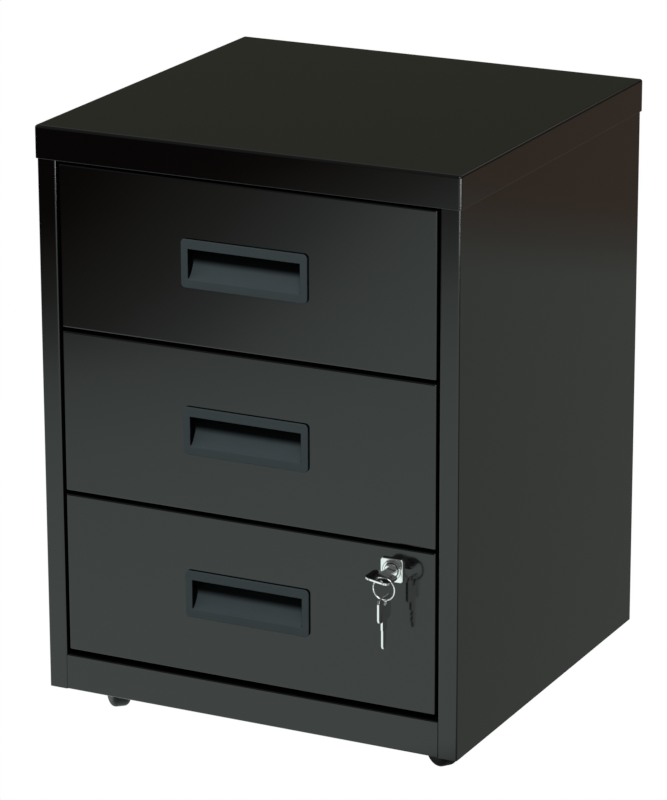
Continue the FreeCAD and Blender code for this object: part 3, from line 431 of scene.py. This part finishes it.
ENAMEL: dict[str, Any] = {
    "base": (0.0022, 0.0023, 0.0024),
    "shade": (0.0034, 0.0033, 0.0033),
    "rough": 0.10,
    "rough_spread": 0.03,
    "mottle_scale": 14.0,
    "grain_scale": 520.0,
    "grain_depth": 0.000004,
}
FINISHES: dict[Slot, Finish] = {
    Slot.PAINT: Finish("black_enamel", **ENAMEL, wave_scale=5.0, wave_depth=0.00012),
    # the pull's finish paints shade into its undercut, inner end walls and rim seam
    Slot.PULL: PullMouldingPaintedShade("pull_moulding_painted_shade", (0.060, 0.078, 0.084), (0.068, 0.087, 0.093), 0.45, 0.08,
                            mottle_scale=60.0, grain_scale=2600.0, grain_depth=0.00003, specular=0.03),
    Slot.ZINC: Finish("zinc_plate", (0.50, 0.52, 0.55), (0.62, 0.61, 0.56), 0.30, 0.14, metal=1.0,
                      mottle_scale=45.0, grain_scale=1800.0, grain_depth=0.00001),
    Slot.NICKEL: TurnedNickel("polished_nickel", (0.64, 0.64, 0.63), (0.76, 0.76, 0.75), 0.14, 0.08,
                              metal=1.0, mottle_scale=220.0, grain_scale=2400.0, grain_depth=0.000004,
                              stretch=(1.0, 1.0, 0.2)),
    Slot.NYLON: Finish("white_nylon", (0.78, 0.76, 0.70), (0.82, 0.81, 0.77), 0.42, 0.1,
                       mottle_scale=90.0, grain_scale=1500.0, grain_depth=0.00001),
    Slot.CASTER: Finish("caster_moulding", (0.004, 0.004, 0.0042), (0.007, 0.007, 0.007), 0.5, 0.12,
                        mottle_scale=80.0, grain_scale=1600.0, grain_depth=0.00002, specular=0.12),
}


def panel(name: str, middle: float, lean: float, twist: float = 0.0, bow: float = 0.0) -> TwistedPanel:
    """Return the enamel of one panel with its own shallow twist and bow.

    Args:
        name: The finish's name.
        middle: The height of the panel's middle, in metres.
        lean: Its lean, in radians.
        twist: Its change of lean across the panel, in radians to the metre.
        bow: Half its change of lean up the panel, in radians to the metre.

    Returns:
        The panel's finish.
    """
    return TwistedPanel(name, **ENAMEL, middle=middle, lean=lean, twist=twist, bow=bow)


PANELS: dict[str, Finish] = {
    "top_drawer_front": panel("enamel_top_front", 0.43, 0.020, 0.12, 0.125),
    "middle_drawer_front": panel("enamel_middle_front", 0.28, 0.012),
    "top_lid": panel("enamel_lid", 0.52, 0.005, 0.1),
    "left_side_panel": panel("enamel_left_panel", 0.36, 0.012, 0.0, -0.063),
    "right_side_panel": panel("enamel_right_panel", 0.36, 0.012),
}


# ---------------------------------------------------------------- meshes

def body_of(node: str) -> str:
    """Return the body that a CAD node rides on."""
    bodies = frame["record"]["behaviour"]["bodies"]
    return next(body for body, nodes in bodies.items() if node in nodes)


def slot_of(node: str) -> Slot:
    """Return the material slot of a CAD node."""
    rows = frame["record"]["subparts"]
    return Slot(next(row["material_slot"] for row in rows if row["node"] == node))


def new_piece(name: str, mesh: bpy.types.Mesh) -> bpy.types.Object:
    """Link a mesh into the scene as a piece.

    Args:
        name: The piece's name.
        mesh: Its mesh, with the piece's place in it.

    Returns:
        The new object.
    """
    piece = bpy.data.objects.new(name, mesh)
    bpy.context.scene.collection.objects.link(piece)
    return piece


def settle(piece: bpy.types.Object, nodes: Sequence[str], slot: Slot,
           finish: Finish | None = None) -> None:
    """Dress a piece, ride it on its node's body and let it stand for its nodes.

    Args:
        piece: The finished piece.
        nodes: The CAD nodes that it replaces, all on one body.
        slot: The slot that it takes its finish from.
        finish: Its own finish, where it differs from the slot's.
    """
    piece.data.materials.clear()
    piece.data.materials.append((finish or FINISHES[slot]).material())
    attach(piece, body_of(nodes[0]))
    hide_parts(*nodes)
    LOG.info("%s stands for %s", piece.name, ", ".join(nodes))


@dataclass(frozen=True)
class EdgeRounding:
    """How the sharp edges of a refined piece are rounded."""

    width: float = 0.25 * MILLIMETRE
    segments: int = 2
    sharp_angle: float = math.radians(32.0)
    weld: float = WELD
    flat_angle: float = math.radians(0.3)

    def refine(self, node: str) -> bpy.types.Object:
        """Copy a CAD node into a piece with welded faces, rounded edges and smooth shading.

        Args:
            node: The CAD node's name.

        Returns:
            The piece, without its finish.
        """
        mesh = frame["nodes"][node].data.copy()
        mesh.name = f"{node}_refined"
        build = bmesh.new()
        build.from_mesh(mesh)
        bmesh.ops.remove_doubles(build, verts=build.verts, dist=self.weld)
        bmesh.ops.dissolve_limit(build, angle_limit=self.flat_angle, verts=build.verts,
                                 edges=build.edges)
        for face in build.faces:
            face.smooth = True
        build.to_mesh(mesh)
        build.free()
        if "custom_normal" in mesh.attributes:
            mesh.attributes.remove(mesh.attributes["custom_normal"])
        piece = new_piece(f"{node}_refined", mesh)
        rounding = piece.modifiers.new("edges", "BEVEL")
        rounding.width = self.width
        rounding.segments = self.segments
        rounding.limit_method = "ANGLE"
        rounding.angle_limit = self.sharp_angle
        rounding.use_clamp_overlap = True
        rounding.harden_normals = False
        weighted = piece.modifiers.new("normals", "WEIGHTED_NORMAL")
        weighted.keep_sharp = True
        weighted.weight = 100
        return piece


class Shell:
    """The refined sheet-metal pieces and mouldings that are seen from outside."""

    def __init__(self) -> None:
        """Choose each piece's edge rounding."""
        drawers = [f"{level}_drawer" for level in ("top", "middle", "bottom")]
        fine = EdgeRounding()
        crisp = EdgeRounding(width=0.12 * MILLIMETRE)
        soft = EdgeRounding(width=0.5 * MILLIMETRE, segments=3)
        self.plan: dict[str, EdgeRounding] = {
            "top_lid": EdgeRounding(width=0.45 * MILLIMETRE, segments=3),
            "left_side_panel": fine,
            "right_side_panel": fine,
            "front_plinth_rail": fine,
            "back_panel": fine,
            "base_panel": fine,
            "top_front_rail": fine,
            "lock_housing": soft,
            "lock_plug": crisp,
            "lock_cam": fine,
            "lock_nut": fine,
            "key": EdgeRounding(width=0.35 * MILLIMETRE, segments=3),
            "spare_key": EdgeRounding(width=0.35 * MILLIMETRE, segments=3),
        }
        for drawer in drawers:
            self.plan[f"{drawer}_tray"] = fine
            self.plan[f"{drawer}_back"] = fine
            self.plan[f"{drawer}_front"] = fine
            self.plan[f"{drawer}_pull"] = soft

    def build(self) -> None:
        """Refine and dress every planned piece."""
        for node, rounding in self.plan.items():
            settle(rounding.refine(node), [node], slot_of(node), PANELS.get(node))


@dataclass(frozen=True)
class LidHem:
    """The rolled hem round the foot of the lid's skirt."""

    radius: float = 1.0 * MILLIMETRE
    corner: float = 2.5 * MILLIMETRE
    drop: float = 0.15 * MILLIMETRE
    steps: int = 8
    sides: int = 16

    def _path(self) -> list[tuple[Vector, Vector]]:
        """Return the hem's centre line with its outward directions."""
        low, high = (Vector(corner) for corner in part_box("top_lid"))
        height = low.z + self.radius - self.drop
        places = []
        corners = ((high.x, high.y), (low.x, high.y), (low.x, low.y), (high.x, low.y))
        for quarter, (x, y) in enumerate(corners):
            inward = Vector((math.copysign(1.0, -x), math.copysign(1.0, (low.y + high.y) / 2 - y), 0.0))
            middle = Vector((x, y, height)) + inward * self.corner
            for step in range(self.steps + 1):
                angle = math.pi / 2 * (quarter + step / self.steps)
                outward = Vector((math.cos(angle), math.sin(angle), 0.0))
                places.append((middle + outward * (self.corner - self.radius), outward))
        return places

    def build(self) -> None:
        """Sweep the hem and dress it."""
        path = self._path()
        verts = []
        for place, outward in path:
            for side in range(self.sides):
                angle = 2 * math.pi * side / self.sides
                verts.append(place + outward * (self.radius * math.cos(angle))
                             + Vector((0.0, 0.0, self.radius * math.sin(angle))))
        faces = []
        for ring in range(len(path)):
            after = (ring + 1) % len(path)
            for side in range(self.sides):
                turn = (side + 1) % self.sides
                faces.append((ring * self.sides + side, after * self.sides + side,
                              after * self.sides + turn, ring * self.sides + turn))
        mesh = bpy.data.meshes.new("lid_hem")
        mesh.from_pydata(verts, [], faces)
        build = bmesh.new()
        build.from_mesh(mesh)
        bmesh.ops.recalc_face_normals(build, faces=build.faces)
        for face in build.faces:
            face.smooth = True
        build.to_mesh(mesh)
        build.free()
        piece = new_piece("lid_hem", mesh)
        piece.data.materials.append(FINISHES[Slot.PAINT].material())
        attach(piece, body_of("top_lid"))
        LOG.info("%s rides %s", piece.name, body_of("top_lid"))


@dataclass(frozen=True)
class Stamp:
    """A small detail that is repeated on the outer face of every fastener of a node."""

    name: str
    node: str
    side: Vector
    radius: float
    height: float
    vertices: int
    slot: Slot
    taper: float = 0.7

    def _places(self) -> list[Vector]:
        """Return the middle of each fastener's outer face."""
        build = bmesh.new()
        build.from_mesh(frame["nodes"][self.node].data)
        bmesh.ops.remove_doubles(build, verts=build.verts, dist=WELD)
        left = set(build.verts)
        places = []
        while left:
            island = [left.pop()]
            for vert in island:
                for edge in vert.link_edges:
                    other = edge.other_vert(vert)
                    if other in left:
                        left.remove(other)
                        island.append(other)
            low = Vector([min(vert.co[axis] for vert in island) for axis in range(3)])
            high = Vector([max(vert.co[axis] for vert in island) for axis in range(3)])
            half = (high - low) / 2
            places.append((low + high) / 2 + Vector([half[axis] * self.side[axis] for axis in range(3)]))
        build.free()
        return places

    def _group(self) -> tuple[bpy.types.NodeTree, dict[str, str]]:
        """Return the node group that stamps the detail, with its inputs' identifiers."""
        group = bpy.data.node_groups.new(self.name, "GeometryNodeTree")
        ids = {}
        sockets = (("Geometry", "NodeSocketGeometry"), ("Radius", "NodeSocketFloat"),
                   ("Height", "NodeSocketFloat"), ("Material", "NodeSocketMaterial"))
        for label, kind in sockets:
            ids[label] = group.interface.new_socket(label, in_out="INPUT", socket_type=kind).identifier
        group.interface.new_socket("Geometry", in_out="OUTPUT", socket_type="NodeSocketGeometry")
        nodes, links = group.nodes, group.links
        inside, outside = nodes.new("NodeGroupInput"), nodes.new("NodeGroupOutput")
        drum = nodes.new("GeometryNodeMeshCone")
        drum.inputs["Vertices"].default_value = self.vertices
        chamfer = nodes.new("ShaderNodeMath")
        chamfer.operation = "MULTIPLY"
        chamfer.inputs[1].default_value = self.taper
        scatter = nodes.new("GeometryNodeInstanceOnPoints")
        turn = self.side.to_track_quat("Z", "Y").to_euler()
        scatter.inputs["Rotation"].default_value = turn
        real = nodes.new("GeometryNodeRealizeInstances")
        paint = nodes.new("GeometryNodeSetMaterial")
        for start, end in ((inside.outputs["Radius"], chamfer.inputs[0]),
                           (chamfer.outputs[0], drum.inputs["Radius Top"]),
                           (inside.outputs["Radius"], drum.inputs["Radius Bottom"]),
                           (inside.outputs["Height"], drum.inputs["Depth"]),
                           (inside.outputs["Geometry"], scatter.inputs["Points"]),
                           (drum.outputs["Mesh"], scatter.inputs["Instance"]),
                           (scatter.outputs[0], real.inputs[0]), (real.outputs[0], paint.inputs[0]),
                           (inside.outputs["Material"], paint.inputs["Material"]),
                           (paint.outputs[0], outside.inputs[0])):
            links.new(start, end)
        return group, ids

    def build(self) -> None:
        """Stamp the details, turn them into a plain mesh and dress it."""
        points = bpy.data.meshes.new(f"{self.name}_places")
        points.from_pydata(self._places(), [], [])
        holder = new_piece(self.name, points)
        group, ids = self._group()
        stamping = holder.modifiers.new("stamp", "NODES")
        stamping.node_group = group
        stamping[ids["Radius"]] = self.radius
        stamping[ids["Height"]] = self.height
        stamping[ids["Material"]] = FINISHES[self.slot].material()
        shown = holder.evaluated_get(bpy.context.evaluated_depsgraph_get())
        mesh = bpy.data.meshes.new_from_object(shown)
        holder.modifiers.clear()
        holder.data = mesh
        mesh.materials.clear()
        mesh.materials.append(FINISHES[self.slot].material())
        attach(holder, body_of(self.node))
        LOG.info("%s stamped %d times", self.name, len(points.vertices))


REARWARD = Vector((0.0, 1.0, 0.0))
DOWNWARD = Vector((0.0, 0.0, -1.0))
STAMPS: tuple[Stamp, ...] = (
    Stamp("rivet_stems", "back_rivets", REARWARD, 0.0011, 0.0005, 24, Slot.ZINC),
    Stamp("caster_screw_sockets", "caster_screws", DOWNWARD, 0.0021, 0.0004, 6, Slot.CASTER),
    Stamp("lid_screw_sockets", "lid_screws", DOWNWARD, 0.0021, 0.0004, 6, Slot.CASTER),
)


@dataclass(frozen=True)
class Card:
    """A glowing card that only reflections and bounced light see."""

    name: str
    centre: tuple[float, float, float]
    size: tuple[float, float]
    turn: tuple[float, float, float]
    colour: Colour
    strength: float

    def build(self) -> None:
        """Build the card as part of the stage."""
        across, along = self.size[0] / 2, self.size[1] / 2
        corners = [(-across, -along, 0), (across, -along, 0), (across, along, 0), (-across, along, 0)]
        mesh = bpy.data.meshes.new(self.name)
        mesh.from_pydata(corners, [], [(0, 1, 2, 3)])
        glow = bpy.data.materials.new(self.name)
        graph = Graph(glow)
        inputs = {"Color": (*self.colour, 1.0), "Strength": self.strength}
        surface = graph.out("ShaderNodeEmission", inputs=inputs)
        graph.node("ShaderNodeOutputMaterial", inputs={"Surface": surface})
        mesh.materials.append(glow)
        card = new_piece(self.name, mesh)
        card.location = self.centre
        card.rotation_euler = tuple(math.radians(angle) for angle in self.turn)
        card.visible_camera = False
        card.visible_diffuse = False


ROOM_GLOW: tuple[tuple[float, Colour], ...] = (
    (0.0, (0.076, 0.076, 0.060)), (0.42, (0.076, 0.076, 0.060)), (0.62, (0.30, 0.31, 0.31)),
    (0.8, (0.55, 0.57, 0.58)), (0.95, (0.16, 0.165, 0.17)),
)
FRONT_GLOW: tuple[tuple[float, Colour], ...] = (
    (0.2, (1.10, 1.25, 1.21)), (0.3, (1.06, 1.21, 1.17)), (0.395, (0.99, 1.13, 1.09)),
    (0.5, (0.81, 0.92, 0.89)), (0.585, (0.44, 0.48, 0.46)), (0.66, (0.24, 0.24, 0.215)),
    (0.72, (0.17, 0.165, 0.14)), (0.78, (0.09, 0.075, 0.06)), (0.84, (0.02, 0.008, 0.004)),
)
REAR_GLOW: tuple[tuple[float, Colour], ...] = (
    (0.0, (0.25, 0.27, 0.24)), (0.74, (0.255, 0.275, 0.245)), (0.80, (0.215, 0.205, 0.185)),
    (0.90, (0.20, 0.145, 0.11)),
)


@dataclass(frozen=True)
class Softbox:
    """A square lamp that is aimed at the cabinet."""

    name: str
    place: tuple[float, float, float]
    size: float
    power: float
    aim: tuple[float, float, float] = (0.0, 0.0, 0.3)

    def build(self) -> None:
        """Hang the lamp."""
        data = bpy.data.lights.new(self.name, "AREA")
        data.shape = "SQUARE"
        data.size = self.size
        data.energy = self.power
        lamp = bpy.data.objects.new(self.name, data)
        bpy.context.scene.collection.objects.link(lamp)
        lamp.location = self.place
        lamp.rotation_euler = (Vector(self.aim) - Vector(self.place)).to_track_quat("-Z", "Y").to_euler()


@dataclass(frozen=True)
class Studio:
    """The floor, the light, the reflectors and the camera."""

    azimuth: float = 26.574
    elevation: float = 17.605
    roll: float = -0.165
    lens: float = 185.74
    sensor: float = 36.0
    place: tuple[float, float, float] = (1.5652, -3.1350, 1.3779)
    cards: tuple[Card, ...] = (
        Card("card_behind", (0.85, 2.55, 1.9), (1.5, 0.5), (90.0, 0.0, 0.0), (1.0, 0.93, 0.88), 0.45),
        Card("card_right", (1.86, -0.98, 0.001), (0.4, 0.9), (0.0, 0.0, 0.0), (1.0, 1.0, 1.0), 15.0),
    )
    softboxes: tuple[Softbox, ...] = (
        Softbox("softbox_front", (0.9, -2.2, 2.4), 1.6, 42.0),
        Softbox("softbox_left", (-2.4, -1.0, 2.2), 1.2, 14.0),
    )
    floor_reach: float = 6.0
    floor_drop: float = 0.0005

    def build(self) -> None:
        """Set the whole studio up."""
        self._camera()
        self._world()
        self._floor()
        for light in (*self.softboxes, *self.cards):
            light.build()
        scene = bpy.context.scene
        scene.view_settings.view_transform = "Standard"
        scene.view_settings.look = "None"
        scene.cycles.max_bounces = 8
        scene.cycles.glossy_bounces = 5

    def _camera(self) -> None:
        """Aim the camera at the cabinet from its right and above."""
        data = bpy.data.cameras.new("camera")
        data.lens = self.lens
        data.sensor_width = self.sensor
        camera = bpy.data.objects.new("camera", data)
        bpy.context.scene.collection.objects.link(camera)
        camera.location = self.place
        tilt = math.pi / 2 - math.radians(self.elevation)
        aim = Euler((tilt, 0.0, math.radians(self.azimuth))).to_matrix()
        camera.rotation_euler = (aim @ Matrix.Rotation(math.radians(self.roll), 3, "Z")).to_euler()
        data.clip_start = 0.1
        data.clip_end = 100.0
        bpy.context.scene.camera = camera

    def _world(self) -> None:
        """Make a white backdrop and a room that is dim behind the cabinet and bright before it."""
        world = bpy.data.worlds.new("room")
        bpy.context.scene.world = world
        graph = Graph(world)
        direction = graph.out("ShaderNodeTexCoord", result="Generated")
        sideways, ahead, up = graph.split(direction)
        turned = up * 0.75 - ahead * 0.5 - sideways * 0.1 + 0.5
        room = graph.out("ShaderNodeValToRGB", {"stops": ROOM_GLOW}, {0: turned})
        camera_ray = graph.out("ShaderNodeLightPath", result="Is Camera Ray")
        mixed = graph.out("ShaderNodeMix", {"data_type": "RGBA"},
                          {0: camera_ray, 6: room, 7: (1.0, 1.0, 1.0, 1.0)}, result=2)
        light = graph.out("ShaderNodeBackground", inputs={"Color": mixed, "Strength": 1.0})
        graph.node("ShaderNodeOutputWorld", inputs={"Surface": light})

    def _floor(self) -> None:
        """Lay the pale floor, which fades to the left in front and stays dim behind."""
        mesh = bpy.data.meshes.new("floor")
        reach = self.floor_reach
        corners = [(-reach, -reach, 0), (reach, -reach, 0), (reach, reach, 0), (-reach, reach, 0)]
        mesh.from_pydata(corners, [], [(0, 1, 2, 3)])
        glow = bpy.data.materials.new("floor")
        graph = Graph(glow)
        across, along, _ = graph.split(graph.place())
        leftward = (across * 0.883 + along * 0.469) * -0.5
        front = graph.out("ShaderNodeValToRGB", {"stops": FRONT_GLOW}, {0: leftward})
        rightward = (along + across * 0.25) * 0.5
        rear = graph.out("ShaderNodeValToRGB", {"stops": REAR_GLOW}, {0: rightward})
        behind = graph.node("ShaderNodeMapRange", {"interpolation_type": "SMOOTHSTEP"},
                            {0: across * 0.75 + along, 1: -0.14, 2: -0.02})
        mixed = graph.out("ShaderNodeMix", {"data_type": "RGBA"},
                          {0: Wire(graph, behind.outputs[0]), 6: front, 7: rear}, result=2)
        surface = graph.out("ShaderNodeEmission", inputs={"Color": mixed, "Strength": 1.0})
        graph.node("ShaderNodeOutputMaterial", inputs={"Surface": surface})
        mesh.materials.append(glow)
        floor = new_piece("floor", mesh)
        floor.location = (0.0, 0.0, -self.floor_drop)
        floor.visible_camera = False
        floor.visible_diffuse = False


def dress_rest() -> None:
    """Give every CAD node that stays its finish."""
    for name, node in frame["nodes"].items():
        node.data.materials.clear()
        node.data.materials.append(FINISHES[slot_of(name)].material())


def main() -> None:
    """Build the cabinet's looks in order."""
    logging.basicConfig(level=logging.INFO, format="%(name)s: %(message)s")
    dress_rest()
    Shell().build()
    LidHem().build()
    for stamp in STAMPS:
        stamp.build()
    Studio().build()


if __name__ == "__main__":
    main()
